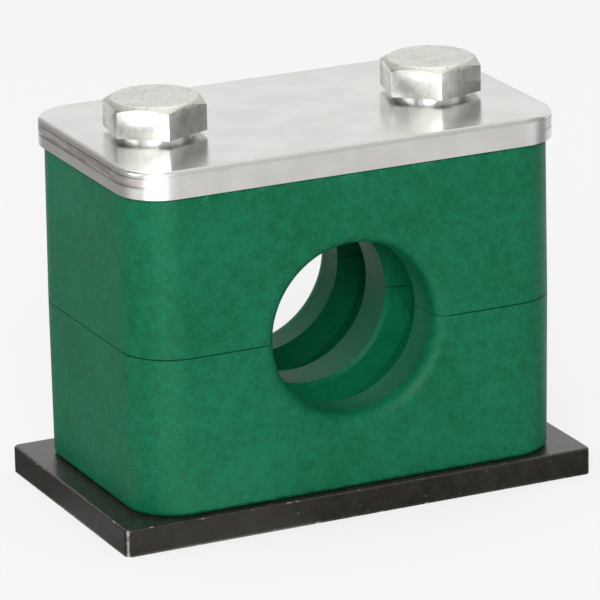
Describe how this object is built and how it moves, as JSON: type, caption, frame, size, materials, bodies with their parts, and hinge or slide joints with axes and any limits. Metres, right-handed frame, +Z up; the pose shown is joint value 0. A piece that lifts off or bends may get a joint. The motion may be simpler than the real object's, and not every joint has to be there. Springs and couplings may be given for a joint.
{
  "type": "tube clamp",
  "caption": "Tube clamp with moulded plastic halves and a ribbed bore between a weld plate and a cover plate, closed by hexagon bolts.",
  "frame": {"origin": "centre of the weld plate's underside, below the middle of the clamp", "axes": "+X along the line of the two bolts, +Y along the tube, +Z up through the stack from the weld plate to the bolt heads"},
  "size_m": [0.056, 0.0316, 0.0454],
  "materials": {
    "phosphated_steel": "phosphated, dark and slightly oily",
    "nut_steel": "turned, uncoated",
    "green_polypropylene": "moulded, finely textured",
    "zinc_plate": "zinc plated, satin",
    "zinc_bolt": "zinc plated, satin"
  },
  "bodies": {
    "base": {"weld_plate": "phosphated_steel", "weld_nut_left": "nut_steel", "weld_nut_right": "nut_steel", "lower_half": "green_polypropylene"},
    "top": {"upper_half": "green_polypropylene", "cover_plate": "zinc_plate"},
    "bolt_left": {"bolt_left": "zinc_bolt"},
    "bolt_right": {"bolt_right": "zinc_bolt"}
  },
  "joints": [
    {"name": "top_lift", "type": "slide", "parent": "base", "child": "top", "axis": [0, 0, 1], "range_m": [0, 0.005]},
    {"name": "bolt_left_turn", "type": "hinge", "parent": "top", "child": "bolt_left", "pos_m": [-0.0165, 0, 0.0444], "axis": [0, 0, 1], "range_deg": [0, 1800]},
    {"name": "bolt_right_turn", "type": "hinge", "parent": "top", "child": "bolt_right", "pos_m": [0.0165, 0, 0.0444], "axis": [0, 0, 1], "range_deg": [0, 1800]}
  ],
  "couplings": [
    {"joint": "bolt_left_turn", "follows": "top_lift", "rad_per_m": 6283.2},
    {"joint": "bolt_right_turn", "follows": "top_lift", "rad_per_m": 6283.2}
  ]
}
